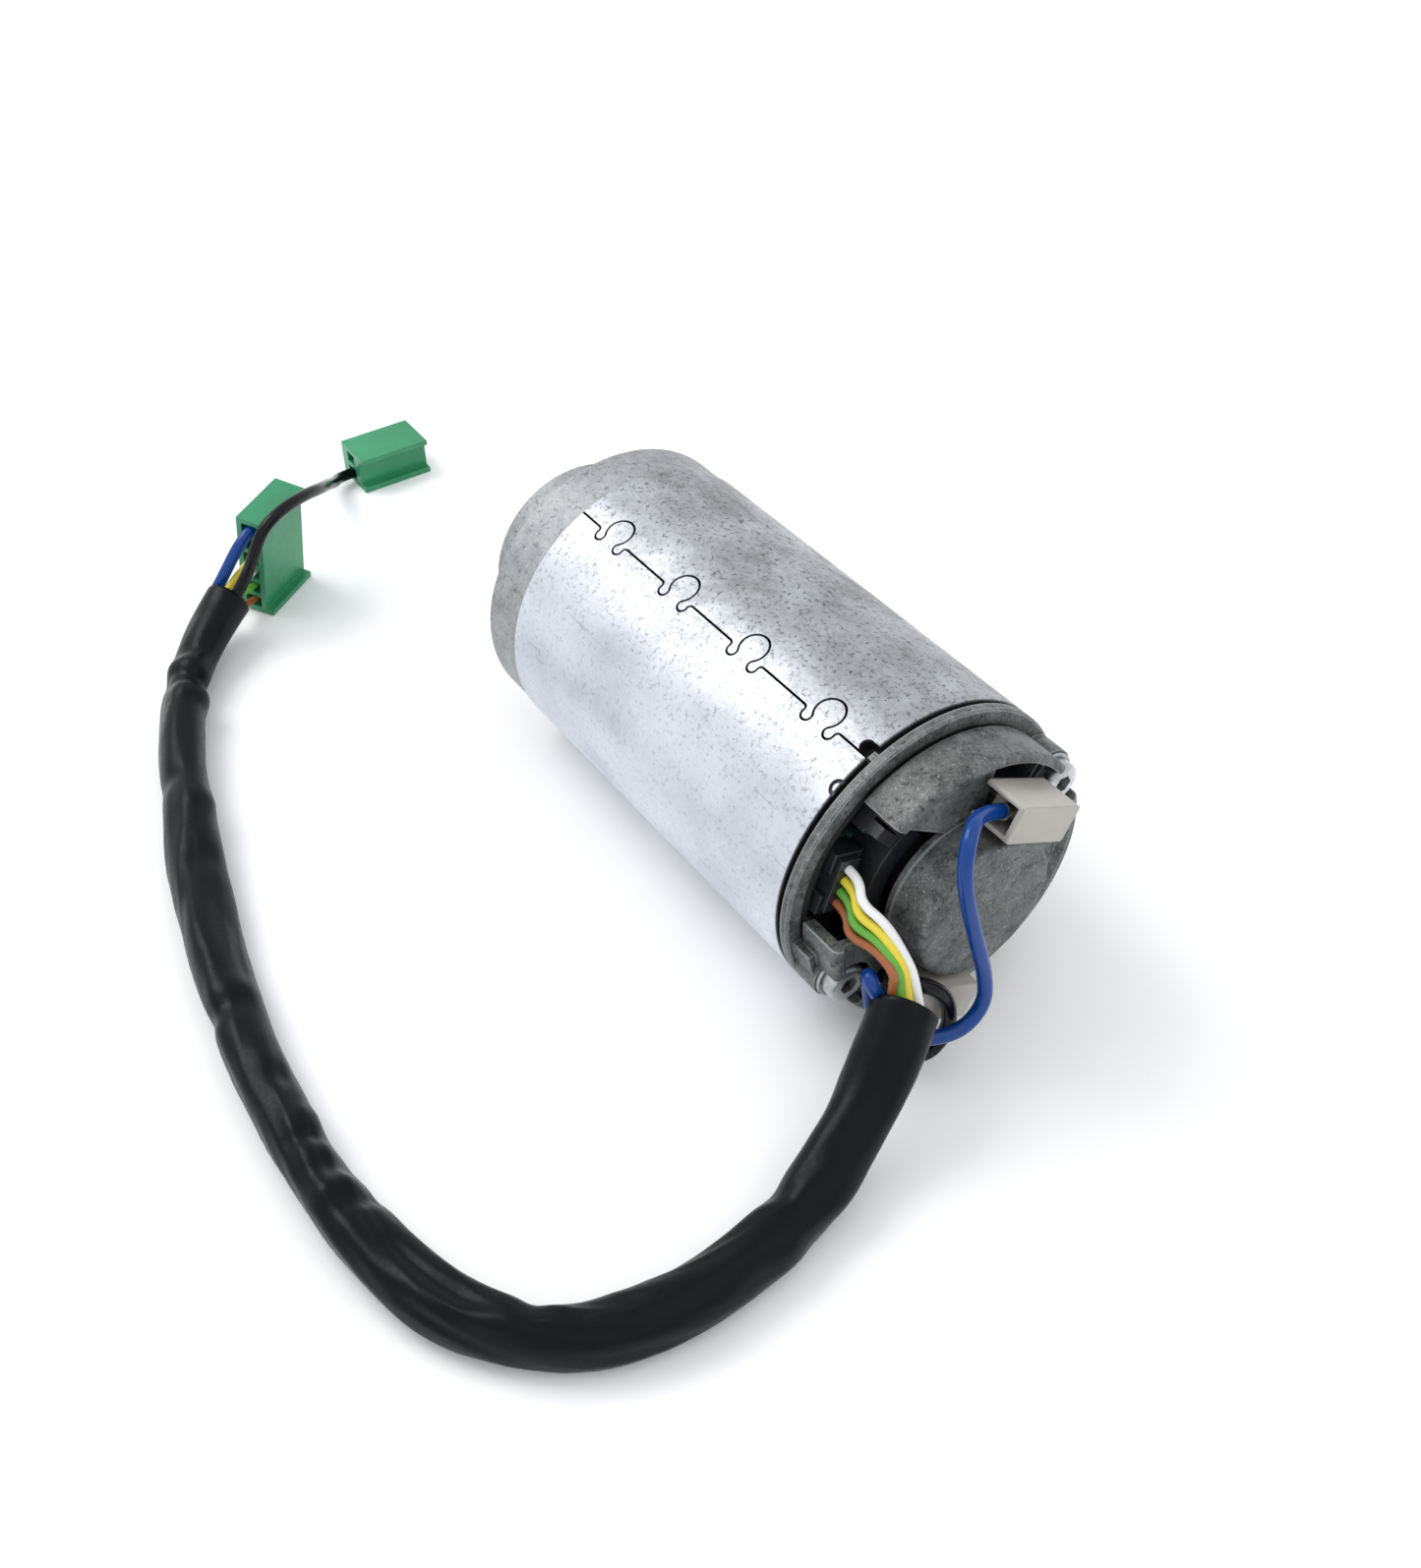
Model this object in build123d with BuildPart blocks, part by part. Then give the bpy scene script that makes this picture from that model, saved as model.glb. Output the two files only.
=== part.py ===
"""Brushed direct-current tube motor for a roller shutter drive, with its harness.

X runs along the shaft and points out of the drive end, Z is up and the origin sits on
the shaft axis in the plane of the front mounting face. Millimetres throughout.
"""
from math import asin, atan2, cos, degrees, hypot, pi, radians, sin, sqrt, tan
import os

from build123d import *

# ---- motor case -----------------------------------------------------------------
TUBE_R = 31.5
TUBE_BORE_R = 29.0
TUBE_FRONT = -11.0
TUBE_REAR = -101.0
FLOOR_Z = -TUBE_R
SEAM_ANGLE = 65.3
SEAM_GAP = 0.5
KNOT_X = (-22.4, -44.6, -66.7, -88.8)
KNOT_DROP = 1.65
LOBE_X = 3.1
LOBE_R = 1.15
LOBE_FILLET = 0.8
STAKE_ANGLE = 52.2
STAKE_R = 1.7
STAKE_DEPTH = 0.5

# ---- front cover ----------------------------------------------------------------
FRONT_R = 31.1
BOSS_R = 20.4
BOSS_LEN = 15.0
SPIGOT_R = 28.95
FRONT_CAVITY_R = 22.5
MOUNT_PCR = 25.0
MOUNT_HOLE_R = 2.1
MOUNT_DEPTH = 9.0
MOUNT_FIRST_ANGLE = 20.0

# ---- rear cover -----------------------------------------------------------------
FLANGE_FRONT = -102.2
FLANGE_REAR = -104.1
GROOVE_REAR = -105.0
GROOVE_R = 27.4
WALL_R = 28.6
WALL_INNER_R = 26.0
END_REAR = -114.2
RIDGE_R = 26.8
DISH_REAR = -112.8
DISH_R = 25.4
END_INNER = -111.6
HUB_BASE_R = 15.5
HUB_FACE_R = 14.9
HUB_REAR = -120.8
REAR_SPIGOT_R = 28.9
REAR_SPIGOT_BORE = 26.9
REAR_SPIGOT_END = -95.0

# ---- through bolts --------------------------------------------------------------
BOLT_PCR = 26.5
BOLT_ANGLES = (154.0, 334.0)
BOLT_R = 2.0
BOLT_HEAD_R = 3.9
BOLT_HEAD_LEN = 3.0
WASHER_R = 4.6
WASHER_THICK = 0.8
PAD_REAR = -109.2
BOLT_TIP = -7.0

# ---- rotor ----------------------------------------------------------------------
SHAFT_R = 5.0
JOURNAL_R = 4.0
SHAFT_REAR = -118.7
SHAFT_STEP = -108.0
OUTPUT_R = 4.5
OUTPUT_SHOULDER = 15.5
SHAFT_TIP = 31.0
FLAT_LEN = 7.0
FLAT_DEPTH = 0.7
STACK_R = 23.0
STACK_REAR = -68.0
STACK_FRONT = -26.0
SLOTS = 12
MAGNET_BORE_R = 23.6
MAGNET_REAR = -73.0
MAGNET_FRONT = -21.0
MAGNET_SPAN = 128.0
COMM_R = 12.0
COMM_REAR = -94.0
COMM_FRONT = -80.0
COMM_BARS = 24
COMM_HUB_R = 8.2
RISER_R = 13.6
RISER_FRONT = -77.4

# ---- bearings: bore, outside, width, ball radius, pitch radius, ball count ------
FRONT_BEARING_REAR = 2.0
FRONT_BEARING_W = 9.0
FRONT_BEARING_R = 15.0
REAR_BEARING_REAR = -118.4
REAR_BEARING_W = 7.0
REAR_BEARING_R = 11.0

# ---- brush gear -----------------------------------------------------------------
CARD_R = 26.6
CARD_REAR = -99.5
CARD_FRONT = -97.5
CARD_HOLE_R = 9.6
BOARD_REAR = -101.1
BRUSH_ANGLES = (65.0, 245.0)
BRUSH_X = -87.5
BRUSH_LONG = 9.0
BRUSH_WIDE = 6.0
BRUSH_IN = 12.03
BRUSH_OUT = 19.0
HOLDER_IN = 13.4
HOLDER_OUT = 25.0
HOLDER_WALL = 0.6
BRUSH_PLAY = 0.15

# ---- terminals and connectors ---------------------------------------------------
TERMINAL_ANGLE = 117.5
TERMINAL_R = 19.6
FLAG_LONG = 16.0
FLAG_WIDE = 7.5
FLAG_REAR = -122.6
FLAG_FRONT = -113.6
FLAG_WALL = 1.0
SOCKET_ANGLE = 18.5
SOCKET_R = 22.7
SOCKET_LONG = 12.8
SOCKET_WIDE = 6.2
SIGNAL_PITCH = 2.4
SIGNAL_R = 0.86
PLUG_REAR = -106.6
LEAD_R = 1.42
SLEEVE_R = 5.3

SIX_WAY_AT = (71.5, 53.0)
SIX_WAY_YAW = -56.0
SIX_WAY_LEAN = 8.0
SIX_WAY_SIZE = (17.5, 8.6, 26.6)
TWO_WAY_AT = (106.5, 10.3)
TWO_WAY_YAW = -91.0
TWO_WAY_SIZE = (19.0, 12.4, 9.6)
CELL_PITCH = 4.2
CELL_HIGH = 3.0
CELL_WIDE = 4.0
RAIL_DEPTH = 1.9
RAIL_LIP = 1.4
CONTACT_AT = 3.5
CONTACT_LONG = 9.0

# ---- harness: the sleeve mouth at the motor and the line it follows on the surface
MOUTH = (-124.0, 20.5, -10.0)
MOUTH_DIRECTION = (-0.40, 0.72, -0.57)
LYING_Z = FLOOR_Z + SLEEVE_R
SLEEVE_POINTS = [
    MOUTH, (-131.0, 33.6, -20.6), (-137.6, 52.0, LYING_Z), (-141.2, 73.0, LYING_Z),
    (-139.4, 88.5, LYING_Z), (-132.3, 101.2, LYING_Z), (-120.9, 109.9, LYING_Z),
    (-105.4, 114.3, LYING_Z), (-84.0, 116.4, LYING_Z), (-56.0, 114.8, LYING_Z),
    (-22.0, 108.8, LYING_Z), (10.0, 99.6, LYING_Z), (37.0, 90.4, LYING_Z),
    (54.5, 81.0, LYING_Z), (64.6, 71.8, -24.4), (70.2, 63.4, -21.4),
]


def ring(outer, inner, start, end):
    """A plain washer or tube along the shaft, from start to end."""
    with BuildPart() as body:
        with BuildSketch(Plane.YZ.offset(start)):
            Circle(outer)
            if inner > 0:
                Circle(inner, mode=Mode.SUBTRACT)
        extrude(amount=end - start)
    return body.part


def polar_plane(angle, radius, x):
    """A plane at a polar angle about the shaft: local X tangential, local Y radial, normal along +X."""
    a = radians(angle)
    return Plane(
        origin=(x, radius * cos(a), radius * sin(a)),
        x_dir=(0, sin(a), -cos(a)),
        z_dir=(-1, 0, 0),
    )


def polar_block(angle, radius, start, end, tangential, radial, shift=0):
    """A rectangular block standing on a polar plane and running from start (front) back to end."""
    with BuildPart() as body:
        with BuildSketch(polar_plane(angle, radius, start)):
            with Locations((shift, 0)):
                Rectangle(tangential, radial)
        extrude(amount=start - end)
    return body.part


def polar_drum(angle, radius, size, start, end):
    """A round peg parallel to the shaft at a polar position."""
    with BuildPart() as body:
        with BuildSketch(polar_plane(angle, radius, start)):
            Circle(size)
        extrude(amount=start - end)
    return body.part


def sector(outer, inner, first, last, start, end):
    """A ring sector between two polar angles."""
    middle = radians((first + last) / 2)
    half = radians((last - first) / 2)
    reach = 2 * outer
    with BuildPart() as body:
        with BuildSketch(Plane.YZ.offset(start)):
            Circle(outer)
            Circle(inner, mode=Mode.SUBTRACT)
            with BuildLine():
                Polyline(
                    (0, 0),
                    (reach * cos(middle - half), reach * sin(middle - half)),
                    (reach * cos(middle), reach * sin(middle)),
                    (reach * cos(middle + half), reach * sin(middle + half)),
                    (0, 0),
                )
            make_face(mode=Mode.INTERSECT)
        extrude(amount=end - start)
    return body.part


def rim(body, x, radius):
    """Circular edges of a body at one station along the shaft and one radius."""
    circles = body.edges().filter_by(GeomType.CIRCLE)
    near = circles.filter_by(lambda edge: abs(edge.radius - radius) < 0.01)
    return near.filter_by(lambda edge: abs(edge.arc_center.X - x) < 0.01)


def save(part, name):
    """Label one piece and write its STEP file."""
    part.label = name
    export_step(part, f"parts/{name}.step")


os.makedirs("parts", exist_ok=True)

# ---- tube with its dovetailed lengthwise seam ------------------------------------
seam_a = radians(SEAM_ANGLE)
seam_plane = Plane(
    origin=(0, (TUBE_R + 1) * cos(seam_a), (TUBE_R + 1) * sin(seam_a)),
    x_dir=(1, 0, 0),
    z_dir=(0, cos(seam_a), sin(seam_a)),
)
stake_a = radians(STAKE_ANGLE)
stake_plane = Plane(
    origin=(TUBE_REAR, TUBE_R * cos(stake_a), TUBE_R * sin(stake_a)),
    x_dir=(1, 0, 0),
    z_dir=(0, cos(stake_a), sin(stake_a)),
)
# each knot is a round head between two lobes, joined by tangent arcs
knot_r = hypot(LOBE_X, LOBE_R + KNOT_DROP) - LOBE_R
head_turn = degrees(atan2(LOBE_R + KNOT_DROP, LOBE_X))
fillet_run = sqrt((LOBE_R + LOBE_FILLET) ** 2 - (LOBE_R - LOBE_FILLET) ** 2)
fillet_turn = degrees(asin((LOBE_R - LOBE_FILLET) / (LOBE_R + LOBE_FILLET)))
knot_half = LOBE_X + fillet_run
lobe_sweep = 180 + head_turn + fillet_turn
with BuildPart() as tube:
    add(ring(TUBE_R, TUBE_BORE_R, TUBE_REAR, TUBE_FRONT))
    chamfer(rim(tube, TUBE_REAR, TUBE_R) + rim(tube, TUBE_FRONT, TUBE_R), 0.35)
    with BuildSketch(seam_plane):
        with BuildLine():
            reached = TUBE_FRONT + 1
            for knot in KNOT_X:
                Line((reached, 0), (knot + knot_half, 0))
                CenterArc((knot + knot_half, LOBE_FILLET), LOBE_FILLET, -90, -90 - fillet_turn)
                CenterArc((knot + LOBE_X, LOBE_R), LOBE_R, -fillet_turn, lobe_sweep)
                CenterArc((knot, -KNOT_DROP), knot_r, head_turn, -180 - 2 * head_turn)
                CenterArc((knot - LOBE_X, LOBE_R), LOBE_R, -head_turn, lobe_sweep)
                CenterArc((knot - knot_half, LOBE_FILLET), LOBE_FILLET, fillet_turn, -90 - fillet_turn)
                reached = knot - knot_half
            Line((reached, 0), (TUBE_REAR - 1, 0))
        trace(line_width=SEAM_GAP)
        with Locations((TUBE_REAR, -1.5)):
            SlotOverall(6.4, 2.9)
    extrude(amount=-(TUBE_R - TUBE_BORE_R + 2.5), mode=Mode.SUBTRACT)
    # half-round stake mark in the rear rim
    with BuildSketch(stake_plane):
        Circle(STAKE_R)
        Circle(STAKE_R - 0.8, mode=Mode.SUBTRACT)
    extrude(amount=-STAKE_DEPTH, mode=Mode.SUBTRACT)
save(tube.part, "tube")

# ---- front cover -----------------------------------------------------------------
with BuildPart() as front_cover:
    add(ring(FRONT_R, 0, TUBE_FRONT, 0))
    add(ring(SPIGOT_R, 0, TUBE_FRONT - 4, TUBE_FRONT))
    add(ring(BOSS_R, 0, 0, BOSS_LEN))
    chamfer(rim(front_cover, 0, FRONT_R), 0.7)
    fillet(rim(front_cover, BOSS_LEN, BOSS_R), 0.8)
    add(ring(FRONT_CAVITY_R, 0, TUBE_FRONT - 4, -8), mode=Mode.SUBTRACT)
    bearing_pocket_end = FRONT_BEARING_REAR + FRONT_BEARING_W
    add(ring(FRONT_BEARING_R, 0, -8, bearing_pocket_end), mode=Mode.SUBTRACT)
    add(ring(SHAFT_R + 1.5, 0, bearing_pocket_end, BOSS_LEN), mode=Mode.SUBTRACT)
    for quarter in range(4):
        turn = MOUNT_FIRST_ANGLE + 90 * quarter
        add(polar_drum(turn, MOUNT_PCR, MOUNT_HOLE_R, 0, -MOUNT_DEPTH), mode=Mode.SUBTRACT)
    for turn in BOLT_ANGLES:
        add(polar_drum(turn, BOLT_PCR, BOLT_R, BOLT_TIP + 1, TUBE_FRONT - 4), mode=Mode.SUBTRACT)
save(front_cover.part, "front_cover")

# ---- rear cover ------------------------------------------------------------------
with BuildPart() as rear_cover:
    with BuildSketch(Plane.XY):
        with BuildLine():
            Polyline(
                (HUB_REAR, 0), (HUB_REAR, HUB_FACE_R), (DISH_REAR, HUB_BASE_R), (DISH_REAR, DISH_R),
                (END_REAR, RIDGE_R), (END_REAR, WALL_R),
                (GROOVE_REAR, WALL_R), (GROOVE_REAR, GROOVE_R), (FLANGE_REAR, GROOVE_R),
                (FLANGE_REAR, TUBE_R), (FLANGE_FRONT, TUBE_R), (FLANGE_FRONT, REAR_SPIGOT_R),
                (REAR_SPIGOT_END, REAR_SPIGOT_R), (REAR_SPIGOT_END, REAR_SPIGOT_BORE),
                (FLANGE_REAR, REAR_SPIGOT_BORE), (FLANGE_REAR, WALL_INNER_R),
                (END_INNER, WALL_INNER_R), (END_INNER, HUB_BASE_R),
                (REAR_BEARING_REAR + REAR_BEARING_W, HUB_BASE_R),
                (REAR_BEARING_REAR + REAR_BEARING_W, REAR_BEARING_R),
                (REAR_BEARING_REAR - 0.6, REAR_BEARING_R), (REAR_BEARING_REAR - 0.6, 0),
                (HUB_REAR, 0),
            )
        make_face()
    revolve(axis=Axis.X)
    fillet(rim(rear_cover, END_REAR, WALL_R), 1.3)
    fillet(rim(rear_cover, HUB_REAR, HUB_FACE_R), 1.0)
    chamfer(rim(rear_cover, FLANGE_REAR, TUBE_R), 0.4)
    # pads under the two through bolts and the lump beside the near one
    for turn in BOLT_ANGLES:
        add(polar_drum(turn, BOLT_PCR, 5.0, FLANGE_REAR, PAD_REAR))
    add(sector(30.2, WALL_INNER_R, -19.0, -9.0, -108.5, FLANGE_REAR))
    # side opening that shows the brush card
    with BuildSketch(Plane.YZ.offset(FLANGE_REAR)):
        with BuildLine():
            Polyline((34, 2.2), (11, -3.4), (0.8, 12.8), (34, 34.8), (34, 2.2))
        make_face()
        Circle(HUB_BASE_R + 0.2, mode=Mode.SUBTRACT)
    extrude(amount=-12, mode=Mode.SUBTRACT)
    # windows for the two power terminals
    for turn in (TERMINAL_ANGLE, TERMINAL_ANGLE + 180):
        window = sector(RIDGE_R, HUB_BASE_R + 0.4, turn - 14, turn + 26, END_REAR - 1, END_INNER + 1)
        add(window, mode=Mode.SUBTRACT)
    # pockets round the bolt heads, and the bolt holes
    for turn in BOLT_ANGLES:
        add(polar_drum(turn, BOLT_PCR, 5.2, PAD_REAR, END_REAR - 1), mode=Mode.SUBTRACT)
        add(polar_drum(turn, BOLT_PCR, BOLT_R + 0.3, REAR_SPIGOT_END + 1, PAD_REAR - 1), mode=Mode.SUBTRACT)
    # locating lug that reaches into the tube seam
    add(polar_block(SEAM_ANGLE + 1.6, 30.4, TUBE_REAR - 0.1, FLANGE_FRONT, 1.6, 2.2))
save(rear_cover.part, "rear_cover")

# ---- magnets ---------------------------------------------------------------------
for name, turn in (("magnet_upper", SEAM_ANGLE), ("magnet_lower", SEAM_ANGLE + 180)):
    arc = sector(TUBE_BORE_R, MAGNET_BORE_R, turn - MAGNET_SPAN / 2, turn + MAGNET_SPAN / 2,
                 MAGNET_REAR, MAGNET_FRONT)
    save(arc, name)

# ---- shaft -----------------------------------------------------------------------
with BuildPart() as shaft:
    add(ring(JOURNAL_R, 0, SHAFT_REAR, SHAFT_STEP))
    add(ring(SHAFT_R, 0, SHAFT_STEP, OUTPUT_SHOULDER))
    add(ring(OUTPUT_R, 0, OUTPUT_SHOULDER, SHAFT_TIP))
    chamfer(rim(shaft, SHAFT_TIP, OUTPUT_R), 0.6)
    chamfer(rim(shaft, SHAFT_REAR, JOURNAL_R), 0.4)
    with Locations((SHAFT_TIP - FLAT_LEN / 2, 0, OUTPUT_R)):
        Box(FLAT_LEN, 2 * OUTPUT_R, 2 * FLAT_DEPTH, mode=Mode.SUBTRACT)
save(shaft.part, "shaft")

# ---- laminated core and windings --------------------------------------------------
with BuildPart() as armature_core:
    with BuildSketch(Plane.YZ.offset(STACK_REAR)):
        Circle(STACK_R)
        Circle(SHAFT_R, mode=Mode.SUBTRACT)
        with PolarLocations(0, SLOTS):
            with Locations((17.0, 0)):
                Rectangle(7.0, 4.6, mode=Mode.SUBTRACT)
            with Locations((STACK_R - 1, 0)):
                Rectangle(4.0, 1.8, mode=Mode.SUBTRACT)
    extrude(amount=STACK_FRONT - STACK_REAR)
save(armature_core.part, "armature_core")

COIL_REAR = -76.8
COIL_FRONT = -17.0
with BuildPart() as windings:
    for first, last in ((COIL_REAR, STACK_REAR), (STACK_FRONT, COIL_FRONT)):
        add(ring(21.4, 8.0, first, last))
    fillet(rim(windings, COIL_REAR, 21.4) + rim(windings, COIL_FRONT, 21.4), 2.6)
    with BuildSketch(Plane.YZ.offset(STACK_REAR)):
        with PolarLocations(0, SLOTS):
            with Locations((17.0, 0)):
                Rectangle(6.4, 4.0)
    extrude(amount=STACK_FRONT - STACK_REAR)
save(windings.part, "windings")

# ---- commutator ------------------------------------------------------------------
hub = ring(COMM_HUB_R, SHAFT_R, COMM_REAR - 1, COIL_REAR)
save(hub, "commutator_hub")
with BuildPart() as commutator_bars:
    add(ring(COMM_R, COMM_HUB_R, COMM_REAR, COMM_FRONT))
    add(ring(RISER_R, COMM_HUB_R, COMM_FRONT, RISER_FRONT))
    with BuildSketch(Plane.YZ.offset(COMM_REAR)):
        with PolarLocations(11.0, COMM_BARS):
            Rectangle(7.0, 0.5)
    extrude(amount=RISER_FRONT - COMM_REAR, mode=Mode.SUBTRACT)
save(commutator_bars.part, "commutator_bars")


# ---- bearings --------------------------------------------------------------------
def bearing(prefix, x, width, bore, outside, land, ball, pitch, count):
    """Deep-groove ball bearing: two races, a ball set and a cage, all about the shaft axis."""
    middle = x + width / 2
    for part_name, big, small in (("inner_race", pitch - land, bore), ("outer_race", outside, pitch + land)):
        with BuildPart() as race:
            add(ring(big, small, x, x + width))
            with Locations(Location((middle, 0, 0), (0, 90, 0))):
                Torus(pitch, ball + 0.07, mode=Mode.SUBTRACT)
        save(race.part, f"{prefix}_{part_name}")
    stations = [
        (middle, pitch * cos(radians(360 * i / count)), pitch * sin(radians(360 * i / count)))
        for i in range(count)
    ]
    with BuildPart() as balls:
        with Locations(*stations):
            Sphere(ball)
    save(balls.part, f"{prefix}_balls")
    with BuildPart() as cage:
        add(ring(pitch + 0.5, pitch - 0.5, middle - 0.4 * width, middle + 0.4 * width))
        with Locations(*stations):
            Sphere(ball + 0.06, mode=Mode.SUBTRACT)
    save(cage.part, f"{prefix}_cage")


bearing("front_bearing", FRONT_BEARING_REAR, FRONT_BEARING_W, SHAFT_R, FRONT_BEARING_R, 2.1, 2.38, 10.0, 8)
bearing("rear_bearing", REAR_BEARING_REAR, REAR_BEARING_W, JOURNAL_R, REAR_BEARING_R, 1.7, 1.98, 7.5, 7)
save(ring(10.6, 8.2, REAR_BEARING_REAR - 0.55, REAR_BEARING_REAR - 0.05), "preload_washer")

# ---- brush card ------------------------------------------------------------------
with BuildPart() as brush_card:
    add(ring(CARD_R, CARD_HOLE_R, CARD_REAR, CARD_FRONT))
    add(sector(19.2, 15.2, -4.0, 62.0, -109.5, BOARD_REAR - 0.1))
    add(sector(25.4, 15.2, 45.5, 62.0, -106.5, CARD_REAR))
    for turn in (49.5, 56.5):
        add(polar_block(turn, 22.6, CARD_REAR, -109.6, 2.4, 5.6))
    for turn in (TERMINAL_ANGLE, TERMINAL_ANGLE + 180):
        add(polar_block(turn, TERMINAL_R, CARD_REAR, -112.4, 11.0, 5.0))
        add(polar_block(turn, 24.9, CARD_REAR, -110.5, 6.0, 1.6))
    for turn in BRUSH_ANGLES:
        add(polar_block(turn, (HOLDER_IN + HOLDER_OUT) / 2, -93.0, CARD_FRONT, 8.0, HOLDER_OUT - HOLDER_IN))
    for turn in BOLT_ANGLES:
        add(polar_drum(turn, BOLT_PCR, BOLT_R + 0.7, CARD_FRONT + 1, CARD_REAR - 1), mode=Mode.SUBTRACT)
save(brush_card.part, "brush_card")

# ---- brush holders, brushes and springs -------------------------------------------
holder_rear = BRUSH_X - BRUSH_LONG / 2 - BRUSH_PLAY - HOLDER_WALL
holder_front = BRUSH_X + BRUSH_LONG / 2 + BRUSH_PLAY + HOLDER_WALL
for letter, turn in zip("ab", BRUSH_ANGLES):
    with BuildPart() as holder:
        add(polar_block(turn, (HOLDER_IN + HOLDER_OUT + HOLDER_WALL) / 2, holder_front, holder_rear,
                        BRUSH_WIDE + 2 * (BRUSH_PLAY + HOLDER_WALL), HOLDER_OUT + HOLDER_WALL - HOLDER_IN))
        add(polar_block(turn, (HOLDER_IN + HOLDER_OUT) / 2 - 1, holder_front - HOLDER_WALL,
                        holder_rear + HOLDER_WALL, BRUSH_WIDE + 2 * BRUSH_PLAY,
                        HOLDER_OUT - HOLDER_IN + 2), mode=Mode.SUBTRACT)
    save(holder.part, f"brush_holder_{letter}")
    a = radians(turn)
    outward = Plane(origin=(BRUSH_X, 0, 0), x_dir=(1, 0, 0), z_dir=(0, cos(a), sin(a)))
    with BuildPart() as brush:
        with BuildSketch(outward.offset(BRUSH_IN)):
            Rectangle(BRUSH_LONG, BRUSH_WIDE)
        extrude(amount=BRUSH_OUT - BRUSH_IN)
        add(ring(COMM_R + 0.03, 0, COMM_REAR, COMM_FRONT), mode=Mode.SUBTRACT)
    save(brush.part, f"brush_{letter}")
    with BuildPart() as spring:
        with BuildLine() as coil:
            Helix(pitch=1.08, height=HOLDER_OUT - BRUSH_OUT - 0.6, radius=1.9,
                  center=tuple(outward.offset(BRUSH_OUT + 0.3).origin), direction=tuple(outward.z_dir))
        with BuildSketch(Plane(origin=coil.line @ 0, z_dir=coil.line % 0)):
            Circle(0.26)
        sweep()
    save(spring.part, f"brush_spring_{letter}")

# ---- suppression chokes -----------------------------------------------------------
CHOKE_ANGLES = (190.0, 262.0)
with BuildPart() as choke_cores:
    for turn in CHOKE_ANGLES:
        add(polar_drum(turn, 19.5, 1.6, CARD_REAR, -111.0))
save(choke_cores.part, "choke_cores")
with BuildPart() as choke_coils:
    for turn in CHOKE_ANGLES:
        add(polar_drum(turn, 19.5, 2.8, CARD_REAR - 1.2, -109.8))
        add(polar_drum(turn, 19.5, 1.6, CARD_REAR - 1.2, -109.8), mode=Mode.SUBTRACT)
save(choke_coils.part, "choke_coils")

# ---- speed sensing: magnet ring, sensor board, sensors, socket, pins, plug --------
save(ring(8.4, SHAFT_R, -105.0, -100.5), "sensor_magnet")
save(polar_block(SOCKET_ANGLE, 17.75, CARD_REAR, BOARD_REAR, SOCKET_LONG, 16.1), "sensor_board")
with BuildPart() as hall_sensors:
    for side in (-20.0, 20.0):
        add(polar_block(SOCKET_ANGLE + side, 10.8, BOARD_REAR, -104.6, 3.4, 1.5))
save(hall_sensors.part, "hall_sensors")
SOCKET_REAR = -105.6
with BuildPart() as ribbon_socket:
    add(polar_block(SOCKET_ANGLE, SOCKET_R, BOARD_REAR, SOCKET_REAR, SOCKET_LONG, SOCKET_WIDE))
    add(polar_block(SOCKET_ANGLE, SOCKET_R, BOARD_REAR - 0.8, SOCKET_REAR - 1, 11.4, 4.8), mode=Mode.SUBTRACT)
    add(polar_block(SOCKET_ANGLE, SOCKET_R + 3, SOCKET_REAR + 2.5, SOCKET_REAR - 1, 5.0, 4.0), mode=Mode.SUBTRACT)
save(ribbon_socket.part, "ribbon_socket")

signal_turn = radians(SOCKET_ANGLE)
signal_spots = []
for step in (1.5, 0.5, -0.5, -1.5):
    shift = step * SIGNAL_PITCH
    signal_spots.append((
        SOCKET_R * cos(signal_turn) - shift * sin(signal_turn),
        SOCKET_R * sin(signal_turn) + shift * cos(signal_turn),
    ))
with BuildPart() as socket_pins:
    with BuildSketch(Plane.YZ.offset(BOARD_REAR - 0.8)):
        with Locations(*signal_spots):
            Rectangle(0.64, 0.64)
    extrude(amount=-3.0)
save(socket_pins.part, "socket_pins")
with BuildPart() as ribbon_plug:
    add(polar_block(SOCKET_ANGLE, SOCKET_R, BOARD_REAR - 1.0, PLUG_REAR, 11.0, 4.4))
    with BuildSketch(Plane.YZ.offset(BOARD_REAR)):
        with Locations(*signal_spots):
            Rectangle(0.9, 0.9)
    extrude(amount=-4.2, mode=Mode.SUBTRACT)
save(ribbon_plug.part, "ribbon_plug")

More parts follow.
